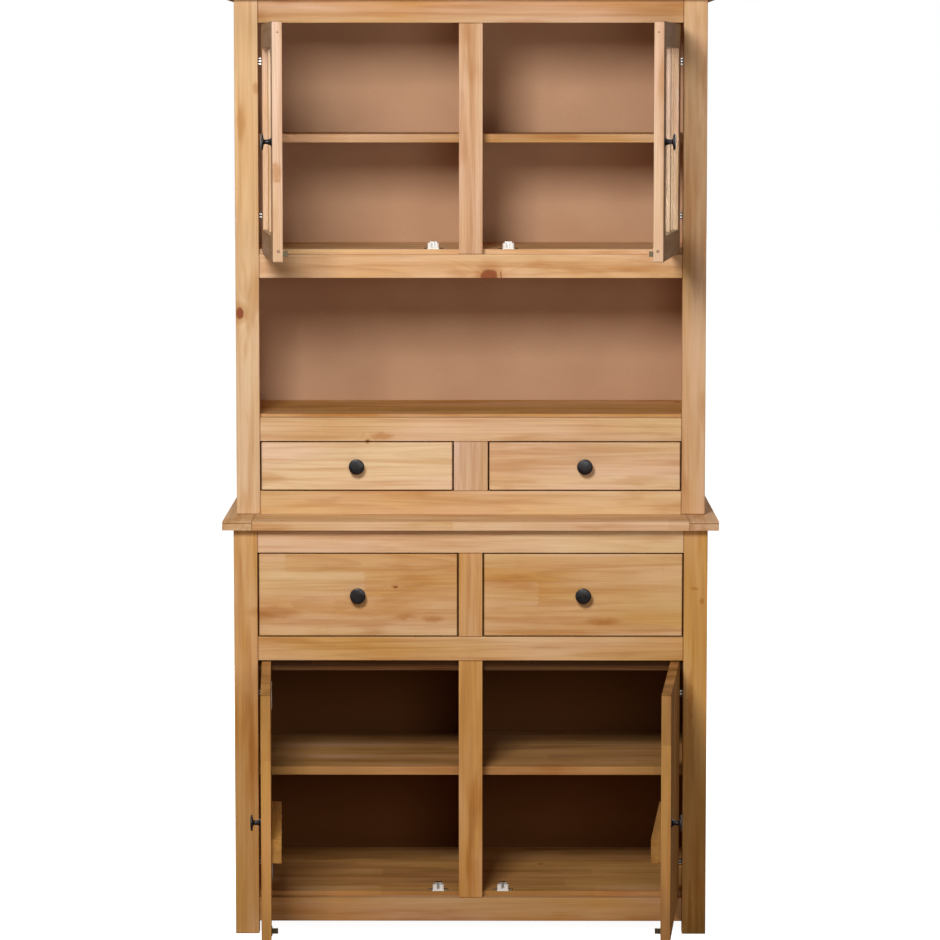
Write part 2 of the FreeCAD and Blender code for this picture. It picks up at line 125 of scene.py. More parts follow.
front_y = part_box("lower_front_legs")[0].y
camera_data = bpy.data.cameras.new("photo_camera")
camera_data.sensor_width = SENSOR
camera_data.lens = FOCAL_PIXELS / IMAGE_WIDTH * SENSOR
camera_data.shift_y = -CROP_PIXELS / IMAGE_WIDTH
camera = in_scene("photo_camera", camera_data)
camera.location = (CAMERA_X, front_y - CAMERA_IN_FRONT, CAMERA_HIGH)
camera.rotation_euler = (math.radians(90 - CAMERA_DOWN), 0, math.radians(CAMERA_LEFT))
bpy.context.scene.camera = camera
print("lens", round(camera_data.lens, 1), "mm")

# %% [markdown]
# ## From a spot in the photograph to a place on a face
# Knots and stains sit where the photograph shows them. A spot in the picture is a ray from the
# camera, and the ray meets the plane of a front face at one point, which is where the mark goes.


# %% Spots in the photograph
def from_photo(across, down, plane):
    """Where the ray through a spot of the photograph meets an upright plane."""
    middle = IMAGE_WIDTH / 2
    aim = Vector(((across - middle) / FOCAL_PIXELS, (middle - CROP_PIXELS - down) / FOCAL_PIXELS, -1))
    ray = camera.rotation_euler.to_matrix() @ aim
    return camera.location + ray * ((plane - camera.location.y) / ray.y)


upper_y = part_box("upper_stiles")[0].y
door_edge_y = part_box("upper_door_left_frame")[0].y
print("a spot on the floor rail:", [round(c, 3) for c in from_photo(489, 274, upper_y)])

# %% [markdown]
# ## Small helpers for node trees
# A shader tree and a geometry tree are built in the same way: add a node, set its options and feed
# its sockets. One helper does that for both. The values it gives can be added, subtracted,
# multiplied and divided like numbers, and each such step adds a node, so sums read as sums.


# %% Node helpers
class Value:
    """A value in a node tree. Arithmetic on it adds the nodes that work it out."""

    def __init__(self, tree, socket):
        self.tree, self.socket = tree, socket

    def __add__(self, other):
        return calc("ADD", self, other)

    def __sub__(self, other):
        return calc("SUBTRACT", self, other)

    def __rsub__(self, other):
        return calc("SUBTRACT", other, self)

    def __mul__(self, other):
        return calc("MULTIPLY", self, other)

    def __truediv__(self, other):
        return calc("DIVIDE", self, other)


class Made:
    """A node of a tree, fed and read by a socket's name or number."""

    def __init__(self, tree, node):
        self.tree, self.node = tree, node

    def __getitem__(self, which):
        return Value(self.tree, self.node.outputs[which])

    def feed(self, sockets):
        """Fills sockets with numbers, or with links from other nodes."""
        for where, value in sockets.items():
            socket = self.node.inputs[where]
            if isinstance(value, Value):
                self.tree.links.new(value.socket, socket)
            else:
                socket.default_value = value
        return self


def put(tree, kind, sockets=None, **options):
    """Adds a node, sets its options and feeds its sockets."""
    node = tree.nodes.new(kind)
    for option, value in options.items():
        setattr(node, option, value)
    return Made(tree, node).feed(sockets or {})


def tree_of(values):
    """The tree that some values belong to."""
    return next(value.tree for value in values if isinstance(value, Value))


def calc(operation, *values):
    """One step of arithmetic in a node tree."""
    return put(tree_of(values), "ShaderNodeMath", dict(enumerate(values)), operation=operation)[0]


def vector_calc(operation, *values):
    """One step of arithmetic on vectors in a node tree."""
    return put(tree_of(values), "ShaderNodeVectorMath", dict(enumerate(values)), operation=operation)


def vector_of(*values):
    """Up to three numbers as one vector."""
    return put(tree_of(values), "ShaderNodeCombineXYZ", dict(enumerate(values)))[0]


def parts_of(vector):
    """The three numbers of a vector."""
    parts = put(vector.tree, "ShaderNodeSeparateXYZ", {0: vector})
    return parts[0], parts[1], parts[2]


def spread(value, low, high, to_low=0.0, to_high=1.0, smooth=True):
    """Carries a value from one range to another, eased at both ends."""
    kind = "SMOOTHSTEP" if smooth else "LINEAR"
    sockets = {"Value": value, "From Min": low, "From Max": high, "To Min": to_low, "To Max": to_high}
    return put(value.tree, "ShaderNodeMapRange", sockets, interpolation_type=kind)[0]


def blend_colour(share, first, second, how="MIX"):
    """Mixes two colours by a share."""
    sockets = {"Factor": share, 6: first, 7: second}
    return put(tree_of((share, first)), "ShaderNodeMix", sockets, data_type="RGBA", blend_type=how)[2]


def object_place(tree):
    """The piece's own coordinates, which are the cabinet's."""
    return put(tree, "ShaderNodeTexCoord")["Object"]


def new_material(name, roughness, **settings):
    """A material with one shader, whose uniform values sit on its own sockets."""
    material = bpy.data.materials.new(name)
    material.use_nodes = True
    tree = material.node_tree
    own = {socket.replace("_", " "): value for socket, value in settings.items()}
    shader = Made(tree, tree.nodes["Principled BSDF"]).feed({"Roughness": roughness, **own})
    return material, tree, shader


def add_bump(shader, height, strength, distance):
    """Gives a shader a bump from a height."""
    sockets = {"Height": height, "Strength": strength, "Distance": distance}
    shader.feed({"Normal": put(shader.tree, "ShaderNodeBump", sockets)[0]})


# %% [markdown]
# ## Pine
# A pine board shows a slice through the rings of a trunk. A flat picture of stripes never looks
# right on the ends, so the rings are worked out in the round: each strip has its own trunk axis, a
# little below the face and slightly tilted, and the colour follows the distance from it. The tilt
# draws the pointed arches. Wide boards are glued from strips, and long strips from lengths joined by
# small fingers, so a strip number and a length number pick new random values. Every board carries
# its own coordinates in an attribute: along the grain, across it and through it, so the grain runs
# up the stiles and along the rails without any unwrapping.

# %% Pine colours and sizes
PALE_PINE = (0.80, 0.58, 0.385, 1)
WARM_PINE = (0.60, 0.32, 0.095, 1)
# near black: reached by boards darkened as painted shade, the drawer deck most of all
DARK_PINE_AND_SHADE = (0.09, 0.042, 0.018, 1)
LATE_WOOD = (0.38, 0.155, 0.045, 1)
PINKISH = (1.01, 0.98, 1.03, 1)
YELLOWISH = (1.0, 1.01, 0.93, 1)
ROSY = (0.80, 0.79, 0.99, 1)
STAIN = (0.74, 0.56, 0.38, 1)
KNOT_HEART = (0.28, 0.08, 0.035, 1)
KNOT_RIM = (0.19, 0.055, 0.02, 1)
JOINT_SHADE = (0.30, 0.20, 0.12, 1)

RING_GAP = 5.5 * MM
RING_UNEVEN = 4.0
PITH_NEAR = 22 * MM
PITH_SPREAD = 60 * MM
PITH_ASIDE = 44 * MM
PITH_TILT = 0.08
RING_WANDER = 22 * MM
KNOT_PULL = 8 * MM
KNOT_SCALE = 4.6
KNOT_CHANCE = 0.975
NO_KNOT = 50
KNOT_SIZES = (2.5 * MM, 7 * MM)
KNOT_WOBBLE = 9 * MM
MARK_DEEP = 30 * MM
STRIP_WARMTH = 0.3
CLOUD_WARMTH = 1.3
FINGER_WIDE = 4 * MM
FINGER_LONG = 5 * MM
SIDE_GLUE = 0.5 * MM
END_GLUE = 0.8 * MM
JOINT_LINE = 2.8 * MM
END_FACE = 0.15 * MM

# each noise: its scale along, across and through the grain, in features per metre, and its detail
WARP = ((2.4, 9.0, 9.0), 2.0)
FIBRE = ((9.0, 900.0, 900.0), 4.0)
STREAK = ((3.0, 85.0, 85.0), 3.0)
CLOUD = ((3.2, 17.0, 17.0), 3.0)
BLUSH = ((2.1, 12.0, 12.0), 2.0)
PATCH = ((5.5, 26.0, 26.0), 3.0)

# each mark, by its plane: across and down in the photograph, half its width and half its height in mm
KNOTS = ((upper_y, ((489, 277, 15, 15), (240, 313, 7, 11), (501, 275, 1.3, 8), (367.9, 441.5, 3, 3))),
         (front_y, ((395.4, 587.2, 3, 2),)))
STAINS = ((front_y, ((433, 619, 24, 9), (275, 612, 60, 15), (690, 905, 5, 60), (405, 617, 24, 6),
                     (602, 621, 40, 9), (690, 700, 6, 70), (702, 601, 5, 9), (695, 589, 9, 4))),
          (upper_y, ((383, 436, 26, 8), (256, 88, 8, 14), (241, 124, 9, 44))),
          (door_edge_y, ((276, 172, 14, 20), (275, 165, 7, 5), (277, 180, 9, 5))))

# %% [markdown]
# A board's colour is built up in the order a maker would see it: the light wood, its warm and pale
# clouds, the darker late wood of each ring, fine fibres, knots with the rings bent round them, and
# last the thin glue lines and a darker band at each end, which is painted shade of the small groove
# where two boards meet and shows each joint as a line.


# %% Pine helpers
def attribute(tree, name):
    """A named attribute of the mesh."""
    return put(tree, "ShaderNodeAttribute", attribute_name=name)


def random_of(*values):
    """White noise of up to three numbers: one random number and a random colour's three parts."""
    noise = put(tree_of(values), "ShaderNodeTexWhiteNoise", {"Vector": vector_of(*values)}, noise_dimensions="3D")
    parts = put(noise.tree, "ShaderNodeSeparateColor", {0: noise["Color"]})
    return noise["Value"], parts[0], parts[1], parts[2]


def stretched_noise(directions, scales, detail=2.0, offset=0.0):
    """Noise in a board's own directions, with a scale for each."""
    scaled = [calc("MULTIPLY_ADD", value, scale, offset) for value, scale in zip(directions, scales)]
    sockets = {"Vector": vector_of(*scaled), "Scale": 1.0, "Detail": detail}
    return put(tree_of(directions), "ShaderNodeTexNoise", sockets)["Fac"]


def marks(where, spots):
    """How far a point is from the nearest mark, where 1 is the mark's edge."""
    nearest = 9.0
    for plane, there in spots:
        for across, down, half_wide, half_high in there:
            offset = vector_calc("SUBTRACT", where, from_photo(across, down, plane))[0]
            inverse = (1 / (half_wide * MM), 1 / MARK_DEEP, 1 / (half_high * MM))
            far = vector_calc("LENGTH", vector_calc("MULTIPLY", offset, inverse)[0])["Value"]
            nearest = calc("MINIMUM", far, nearest)
    return nearest


# %% Pine parts
def glued_strips(along, across, seed, strip_wide, length_long):
    """Which strip and which finger-jointed length a point is in, and how near their glue lines it is."""
    strip_share = across / strip_wide + 0.5
    strip = calc("FLOOR", strip_share)
    finger = calc("PINGPONG", across * (1 / FINGER_WIDE), 1.0)
    length_share = (along + finger * FINGER_LONG) / length_long + random_of(strip, seed, 0.37)[0]
    lines = []
    for share, size, wide in ((strip_share, strip_wide, SIDE_GLUE), (length_share, length_long, END_GLUE)):
        gap = (0.5 - calc("ABSOLUTE", calc("FRACT", share) - 0.5)) * size
        lines.append(spread(gap, 0.1 * MM, wide, 1, 0))
    return strip, calc("FLOOR", length_share), calc("MAXIMUM", *lines)


def own_knots(along, across, seed):
    """Random knots of a board: how far the nearest is, as a share of its size."""
    spot = vector_of(calc("MULTIPLY_ADD", seed, 1.7, along), calc("MULTIPLY_ADD", seed, 3.1, across))
    cells = put(seed.tree, "ShaderNodeTexVoronoi", {"Vector": spot, "Scale": KNOT_SCALE}, voronoi_dimensions="2D")
    cell = put(seed.tree, "ShaderNodeSeparateColor", {0: cells["Color"]})
    far = cells["Distance"] / KNOT_SCALE / spread(cell[1], 0, 1, *KNOT_SIZES, smooth=False)
    absent = calc("LESS_THAN", cell[0], KNOT_CHANCE) + attribute(seed.tree, "board_clear")["Fac"]
    return far + absent * NO_KNOT


def ring_wood(directions, strip, strip_wide, seed, chance, pull):
    """The late wood of the growth rings, from 0 to 1."""
    along, across, through = directions
    value, _, green, blue = chance
    aside = (value - 0.5) * PITH_ASIDE
    side = across - strip * strip_wide + aside + (stretched_noise(directions, *WARP) - 0.5) * RING_WANDER
    below = calc("MULTIPLY_ADD", green, PITH_SPREAD, PITH_NEAR) + through
    below = below + along * ((blue - 0.5) * PITH_TILT) + pull * KNOT_PULL
    far = calc("SQRT", side * side + below * below)
    rings = far / RING_GAP + stretched_noise((far, seed, seed), (60.0, 1.0, 1.0)) * RING_UNEVEN
    phase = calc("FRACT", rings)
    number = random_of(calc("FLOOR", rings), seed, 0.11)[0]
    late = spread(phase, 0.25, 0.9) * spread(phase, 0.92, 1.0, 1, 0)
    return late * spread(number, 0, 1, 0.25, 1.0, smooth=False)


# %% Pine material
def pine_material():
    """Varnished pine that follows each board's own coordinates."""
    material, tree, shader = new_material("varnished_pine", 0.68, IOR=1.33, Specular_IOR_Level=0.1)
    directions = parts_of(attribute(tree, "board_place")["Vector"])
    along, across, _ = directions
    seed, strip_wide, length_long = parts_of(attribute(tree, "board_facts")["Vector"])
    strip, length, line = glued_strips(along, across, seed, strip_wide, length_long)
    chance = random_of(strip, seed + length, 0.71)

    fibre = stretched_noise(directions, *FIBRE)
    streak = stretched_noise(directions, *STREAK, seed)
    cloud = stretched_noise(directions, *CLOUD, seed)
    blush = stretched_noise(directions, *BLUSH, seed + 17)
    patch = stretched_noise(directions, *PATCH, seed + 31)

    wobble = put(tree, "ShaderNodeTexNoise", {"Vector": object_place(tree), "Scale": 60.0})["Color"]
    shake = vector_calc("SUBTRACT", wobble, (0.5, 0.5, 0.5))[0]
    where = vector_calc("MULTIPLY_ADD", shake, (KNOT_WOBBLE, KNOT_WOBBLE, KNOT_WOBBLE), object_place(tree))[0]
    knot_far = calc("MINIMUM", marks(where, KNOTS), own_knots(along, across, seed))
    stain_far = marks(where, STAINS)
    late = ring_wood(directions, strip, strip_wide, seed, chance, spread(knot_far, 0.0, 7.0, 1, 0))

    # the board's tone also holds painted shade, for the weaker light low down and for boards in shade
    warmth_and_shade = attribute(tree, "board_tone")["Fac"] + (chance[1] - 0.5) * STRIP_WARMTH + (cloud - 0.5) * CLOUD_WARMTH
    base = blend_colour(spread(warmth_and_shade, 0, 1, smooth=False), PALE_PINE, WARM_PINE)
    # past 1 the colour turns near black: painted shade for boards in shade, the drawer deck most of all
    base = blend_colour(spread(warmth_and_shade, 1, 2, smooth=False), base, DARK_PINE_AND_SHADE)
    shine = spread(fibre, 0.3, 0.7, 0.9, 1.07, smooth=False)
    to_end = attribute(tree, "board_half")["Fac"] - calc("ABSOLUTE", along)
    off_end = calc("MULTIPLY_ADD", calc("LESS_THAN", to_end, END_FACE), -0.75, 1.0)
    # the last layer is painted shade: a darker band near each end of a board, where two boards meet
    layers = (("MULTIPLY", 1.0, blend_colour(spread(blush, 0.38, 0.62), PINKISH, YELLOWISH)),
              ("MULTIPLY", attribute(tree, "board_rosy")["Fac"], ROSY),
              ("MULTIPLY", spread(patch, 0.54, 0.72) * 0.6, STAIN),
              ("MULTIPLY", spread(streak, 0.46, 0.72, 0, 0.52), STAIN),
              ("MIX", late * spread(cloud, 0.3, 0.7, 0.14, 0.37), LATE_WOOD),
              ("MULTIPLY", 1.0, put(tree, "ShaderNodeCombineColor", {0: shine, 1: shine, 2: shine})[0]),
              ("MULTIPLY", spread(stain_far, 0.35, 1.15, 0.75, 0), STAIN),
              ("MULTIPLY", spread(knot_far, 1.0, 2.6, 0.7, 0), STAIN),
              ("MIX", spread(knot_far, 0.9, 1.15, 0.7, 0), KNOT_RIM),
              ("MIX", spread(knot_far, 0.75, 1.0, 0.9, 0), KNOT_HEART),
              ("MIX", line * 0.3, LATE_WOOD),
              ("MULTIPLY", spread(to_end, 0.2 * MM, JOINT_LINE, 0.8, 0) * off_end, JOINT_SHADE))
    for how, share, colour in layers:
        base = blend_colour(share, base, colour, how)
    shader.feed({"Base Color": base, "Roughness": spread(fibre, 0.3, 0.7, 0.62, 0.76, smooth=False)})
    add_bump(shader, fibre * 0.35 - late * 0.3 - line, 0.35, 0.25 * MM)
    return material


PINE = pine_material()
print("pine has", len(PINE.node_tree.nodes), "shader nodes")

# %% [markdown]
# ## The other finishes
# The back is a thin brown board with a faint mottle, and inside the lower unit it is darkened with
# painted shade. The knobs are black enamel with a soft shine that is a little duller where fingers
# rub. Hinges are nickel-plated steel with fine brushing, and their arms carry painted shade in the
# grooves between their ribs. The catches are white moulded plastic, and the panes are clear glass
# that lets light through to the shelves behind.

# %% Back board, enamel, steel, plastic and glass
LOWER_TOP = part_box("worktop_field")[0].z
BACK_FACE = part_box("lower_back_panel")[1].y
BOARD_DARK = (0.465, 0.272, 0.163, 1)
BOARD_LIGHT = (0.515, 0.312, 0.192, 1)
# painted shade: the colour of the back board's inner face inside the lower unit
BOARD_SHADE_IN_LOWER = (0.155, 0.057, 0.0145, 1)
RIB_STEP = 5.4 * MM
# near black: painted shade in the grooves of the hinge arms
GROOVE_SHADE = (0.05, 0.04, 0.035, 1)
RIB = (0.62, 0.6, 0.57, 1)
PANE_DARK = (0.93, 0.97, 0.95, 1)
PANE_LIGHT = (0.98, 0.995, 0.985, 1)
PANE_SHADOW = (0.53, 0.54, 0.53, 1)


def noise_at(tree, scale, detail=3.0, vector=None):
    """Noise over the piece at a scale, in features per metre."""
    where = vector or object_place(tree)
    return put(tree, "ShaderNodeTexNoise", {"Vector": where, "Scale": scale, "Detail": detail})["Fac"]


def stretched_place(tree, scale):
    """The piece's own coordinates, stretched by a scale for each direction."""
    return put(tree, "ShaderNodeMapping", {"Vector": object_place(tree), "Scale": scale})[0]


def back_board_material():
    """Thin brown fibre board with a faint mottle, and painted shade on it inside the lower unit."""
    material, tree, shader = new_material("brown_back_board", 0.7, Specular_IOR_Level=0.12)
    speckle = noise_at(tree, 420.0, 4.0)
    share = noise_at(tree, 7.0, 2.0) * 0.6 + speckle * 0.4
    colour = blend_colour(spread(share, 0.35, 0.65), BOARD_DARK, BOARD_LIGHT)
    _, back, height = parts_of(object_place(tree))
    # painted shade: the inner face below the worktop is darkened, where the lower unit lies in shade
    below = spread(height, LOWER_TOP - 0.05, LOWER_TOP, 1, 0)
    inside = calc("LESS_THAN", back, BACK_FACE - 2 * MM)
    shader.feed({"Base Color": blend_colour(below * inside, colour, BOARD_SHADE_IN_LOWER)})
    add_bump(shader, speckle, 0.15, 0.1 * MM)
    return material


def mottled_material(name, roughness, scale, dark, light, shine=None, bump=None, **settings):
    """A finish whose colour, and shine where one is given, follow fine noise."""
    material, tree, shader = new_material(name, roughness, **settings)
    cloudy = noise_at(tree, scale)
    shader.feed({"Base Color": blend_colour(cloudy, dark, light)})
    if shine:
        shader.feed({"Roughness": spread(cloudy, 0.3, 0.7, *shine)})
    if bump:
        bump_scale, distance = bump
        add_bump(shader, noise_at(tree, bump_scale), 0.1, distance)
    return material


def steel_material(name, dark, light, low_rough, high_rough):
    """Plated steel with fine brushing."""
    material, tree, shader = new_material(name, low_rough, Metallic=1.0)
    brush = noise_at(tree, 1.0, 2.0, stretched_place(tree, (700, 700, 60)))
    shader.feed({"Base Color": blend_colour(brush, dark, light),
                 "Roughness": spread(brush, 0.3, 0.7, low_rough, high_rough)})
    add_bump(shader, brush, 0.12, 0.1 * MM)
    return material


def ribbed_steel_material():
    """Plated arms pressed with level ribs, with painted shade in the grooves."""
    material, tree, shader = new_material("ribbed_nickel", 0.3, Metallic=1.0)
    rib = calc("PINGPONG", parts_of(object_place(tree))[2] * (2 / RIB_STEP), 1.0)
    # the grooves between the ribs take a near-black colour, which is painted shade
    shader.feed({"Base Color": blend_colour(spread(rib, 0.45, 0.7), GROOVE_SHADE, RIB),
                 "Roughness": spread(noise_at(tree, 600.0), 0.3, 0.7, 0.25, 0.4)})
    add_bump(shader, rib, 0.4, 0.4 * MM)
    return material


def glass_material():
    """Clear pane glass, whose shadow is as deep as slanting light makes it."""
    material, tree, shader = new_material("pane_glass", 0.03, Transmission_Weight=1.0, IOR=1.14)
    smear = noise_at(tree, 1.0, 3.0, stretched_place(tree, (6, 6, 18)))
    shader.feed({"Base Color": blend_colour(smear, PANE_DARK, PANE_LIGHT),
                 "Roughness": spread(smear, 0.4, 0.8, 0.01, 0.06)})
    clear = put(tree, "ShaderNodeBsdfTransparent", {"Color": PANE_SHADOW})[0]
    shadow = put(tree, "ShaderNodeLightPath")["Is Shadow Ray"]
    mix = put(tree, "ShaderNodeMixShader", {0: shadow, 1: shader[0], 2: clear})[0]
    Made(tree, tree.nodes["Material Output"]).feed({"Surface": mix})
    return material


BACK_BOARD = back_board_material()
ENAMEL = mottled_material("black_enamel", 0.34, 90.0, (0.006, 0.0045, 0.006, 1), (0.013, 0.0105, 0.013, 1),
                          shine=(0.24, 0.42), bump=(900.0, 0.1 * MM), IOR=1.35)
STEEL = steel_material("nickel_plate", (0.34, 0.33, 0.32, 1), (0.52, 0.51, 0.49, 1), 0.22, 0.38)
RIBBED = ribbed_steel_material()
ZINC = steel_material("dark_zinc", (0.06, 0.047, 0.03, 1), (0.13, 0.105, 0.065, 1), 0.35, 0.55)
PLASTIC = mottled_material("white_plastic", 0.45, 120.0, (0.78, 0.77, 0.74, 1), (0.86, 0.85, 0.83, 1),
                           bump=(1500.0, 0.05 * MM))
PLUG = mottled_material("dowel_end", 0.6, 900.0, (0.20, 0.11, 0.06, 1), (0.33, 0.20, 0.11, 1))
GLASS = glass_material()
print("finishes:", [material.name for material in bpy.data.materials])

# %% [markdown]
# ## From the frame's triangles to real boards
# The frame's meshes are loose triangles with knife-sharp edges. A real board has its edges eased
# with sandpaper, and that thin bright line is most of what makes it look like wood. A solid's
# triangles follow one another and its surface closes before the next one starts, so each node can
# be split into its solids. Then the flat triangles are dissolved into whole faces, and the outer
# corners get a small bevel.

# %% Solids of a node
EASED = 0.7 * MM
CORNER = math.radians(50)
FLAT = math.radians(0.6)
SPOT_DECIMALS = 6


def closed_groups(mesh):
    """Splits a mesh's triangles into solids: a solid ends where its surface closes."""
    key = [tuple(round(c, SPOT_DECIMALS) for c in vertex.co) for vertex in mesh.vertices]
    groups, group, open_edges = [], [], set()
    for polygon in mesh.polygons:
        corners = [key[i] for i in polygon.vertices]
        if len(set(corners)) < 3:
            continue
        group.append(corners)
        for start, end in zip(corners, corners[1:] + corners[:1]):
            if (end, start) in open_edges:
                open_edges.discard((end, start))
            else:
                open_edges.add((start, end))
        if not open_edges:
            groups.append(group)
            group = []
    assert not group, mesh.name
    return groups


def to_closed(body):
    """The turn that takes an opened door back to its closed place, or nothing for other bodies."""
    for joint in frame["joints"]:
        if joint["child"] == body and joint["type"] == "hinge":
            centre = Vector(joint["pos_m"])
            turn = Matrix.Rotation(math.radians(joint["range_deg"][0]), 4, Vector(joint["axis"]))
            return Matrix.Translation(centre) @ turn @ Matrix.Translation(-centre)
    return Matrix.Identity(4)


def solid_mesh(group, eased):
    """One solid as a bmesh with whole faces and eased corners."""
    bm = bmesh.new()
    made = {}
    for corners in group:
        for corner in corners:
            if corner not in made:
                made[corner] = bm.verts.new(corner)
        bm.faces.new([made[corner] for corner in corners])
    bmesh.ops.dissolve_limit(bm, angle_limit=FLAT, verts=bm.verts[:], edges=bm.edges[:])
    bm.normal_update()
    sharp = [edge for edge in bm.edges if len(edge.link_faces) == 2 and edge.calc_face_angle_signed(0) > CORNER]
    bmesh.ops.bevel(bm, geom=sharp, offset=eased, segments=2, profile=0.5, affect="EDGES", clamp_overlap=True)
    return bm


def corners_of(points):
    """The lowest and highest corner of some points."""
    points = list(points)
    return (Vector([min(p[a] for p in points) for a in range(3)]),
            Vector([max(p[a] for p in points) for a in range(3)]))


def body_of(node):
    """The body that a node rides on."""
    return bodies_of(frame["nodes"][node])[0]


def closed_box(node):
    """A node's body, the turn that closes its door, and the node's box with the door closed."""
    body = body_of(node)
    closed = to_closed(body)
    low, high = corners_of(closed @ vertex.co for vertex in frame["nodes"][node].data.vertices)
    return body, closed, low, high


def plain_mesh(name, spots, edges=(), faces=()):
    """A mesh straight from its points, edges and faces."""
    mesh = bpy.data.meshes.new(name)
    mesh.from_pydata(spots, edges, faces)
    return mesh


def solids_of(node, eased):
    """Each solid of a node, eased, with its box as it stands when its door is closed."""
    closed = to_closed(body_of(node))
    solids = []
    for group in closed_groups(frame["nodes"][node].data):
        box = corners_of(closed @ Vector(corner) for corners in group for corner in corners)
        solids.append((solid_mesh(group, eased), box))
    return solids


def finished(name, mesh, body, slot, *nodes):
    """Puts a mesh in the scene as a piece that rides on a body and stands for its nodes."""
    piece = in_scene(name, mesh)
    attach(piece, body)
    if nodes:
        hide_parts(*nodes)
    return piece


def joined(name, bmeshes, finishes):
    """One mesh out of several, each with its finish, and the vertices that each one holds."""
    whole = bmesh.new()
    spans = []
    materials = list(dict.fromkeys(finishes))
    for bm, finish in zip(bmeshes, finishes):
        for face in bm.faces:
            face.material_index = materials.index(finish)
        part = bpy.data.meshes.new("part")
        bm.to_mesh(part)
        bm.free()
        first = len(whole.verts)
        whole.from_mesh(part)
        spans.append((first, len(whole.verts)))
        bpy.data.meshes.remove(part)
    mesh = bpy.data.meshes.new(name)
    whole.to_mesh(mesh)
    whole.free()
    for material in materials:
        mesh.materials.append(material)
    return mesh, spans


# %% [markdown]
# ## The boards
# The longest way of a board is along the grain, because that is how boards are sawn. Wide boards are
# glued from strips, so their facts hold a strip's width and a finger-jointed length; narrow ones are
# a single piece. The boards grow darker and warmer towards the floor, partly as the wood's own tone
# and partly as painted shade for the weaker light low down. A few boards stand out, some in their
# own tone and some darkened with painted shade where they stand in shade.

# %% Boards
WIDE_BOARD = 110 * MM
STRIP = 47 * MM
SINGLE = 60.0
FINGER_LENGTH = 0.41
# boards are darker and warmer towards the floor: partly the wood's tone, partly painted shade low down
TONE_FOOT = 0.8
TONE_AND_SHADE_FALL = 0.45
TONE_SPREAD = 0.09

# how much warmer or paler than its neighbours a node's boards are, and how rosy; the larger warm
# values are partly painted shade, darkening boards that stand in shade: the drawer deck behind the
# middle rail, the lower doors and their battens, the shelves, the display shelf, the lower floor and
# the upper top rail
BOARD_TONE_AND_SHADE = {"upper_top_rail": (0.35, 0.7), "upper_stiles": (-0.3, 0.2), "upper_mullions": (-0.2, 0.45),
               "upper_floor_rail": (-0.15, 0), "upper_counter_rail": (-0.2, 0), "upper_bottom_rail": (-0.2, 0),
               "upper_shelves": (0.35, 1.0), "display_shelf": (0.3, 0.3), "upper_drawer_left_front": (-0.5, 0),
               "upper_drawer_right_front": (-0.25, 0), "upper_door_left_frame": (-0.1, 0.7),
               "upper_door_right_frame": (-0.4, 0.6), "upper_door_left_glass": (0, 0.6),
               "upper_door_right_glass": (0, 0.6), "worktop_ends": (-0.3, 0), "worktop_field": (-0.15, 0),
               "lower_top_rail": (-0.35, 0), "lower_bottom_rail": (0, 0.8), "lower_mullions": (0.2, 0),
               "lower_front_legs": (0.12, 0), "lower_shelves": (0.4, 0.8), "lower_floor": (0.4, 0.55),
               "lower_drawer_deck": (1.9, 0), "lower_door_left_panel": (0.25, 0.25),
               "lower_door_right_panel": (0.48, 0.45), "lower_door_left_batten": (0.4, 0),
               "lower_door_right_batten": (0.6, 0)}
RIGHT_WARMER = {"upper_stiles": 0.4, "lower_front_legs": 0.15}
CLEAR_NODES = ("lower_top_rail", "upper_top_rail", "upper_stiles", "upper_counter_rail", "lower_front_legs",
               "upper_drawer_right_front")
GRAIN_FACTS = {"board_place": "FLOAT_VECTOR", "board_facts": "FLOAT_VECTOR", "board_tone": "FLOAT",
               "board_half": "FLOAT", "board_rosy": "FLOAT", "board_clear": "FLOAT"}
grain_random = random.Random(11)


def add_attributes(mesh, kinds):
    """Gives a mesh's points named attributes of given kinds."""
    for name, kind in kinds.items():
        mesh.attributes.new(name, kind, "POINT")


def write_grain(mesh, span, closed, box, node):
    """Gives the vertices of one board of a node its own place, facts and tone."""
    low, high = box
    size = high - low
    order = sorted(range(3), key=lambda axis: -size[axis])
    middle = (low + high) / 2
    glued = size[order[1]] > WIDE_BOARD
    warmer, rosier = BOARD_TONE_AND_SHADE.get(node, (0, 0))
    shift = grain_random.uniform(-0.5, 0.5) * STRIP if glued else 0.0
    facts = (grain_random.uniform(0, 40), STRIP if glued else SINGLE, FINGER_LENGTH if glued else SINGLE)
    node_low, node_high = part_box(node)
    own_tone_and_shade = TONE_FOOT - TONE_AND_SHADE_FALL * ((node_low.z + node_high.z) / 2 / cad_high.z) + warmer
    own_tone_and_shade += grain_random.uniform(-TONE_SPREAD, TONE_SPREAD)
    if middle.x > 0:
        own_tone_and_shade += RIGHT_WARMER.get(node, 0)
    steady = {"board_tone": own_tone_and_shade, "board_half": size[order[0]] / 2, "board_rosy": rosier,
              "board_clear": 1 if node in CLEAR_NODES else 0}
    for i in range(*span):
        point = closed @ mesh.vertices[i].co - middle
        local = (point[order[0]], point[order[1]] + shift, point[order[2]])
        mesh.attributes["board_place"].data[i].vector = local
        mesh.attributes["board_facts"].data[i].vector = facts
        for name, value in steady.items():
            mesh.attributes[name].data[i].value = value


def board_piece(node):
    """A copy of a wooden node with eased edges and its own grain, standing for that node."""
    solids = solids_of(node, EASED)
    mesh, spans = joined(node + "_boards", [bm for bm, box in solids], [PINE] * len(solids))
    add_attributes(mesh, GRAIN_FACTS)
    for span, (bm, box) in zip(spans, solids):
        write_grain(mesh, span, to_closed(body_of(node)), box, node)
    return finished(node + "_boards", mesh, body_of(node), "pine", node)


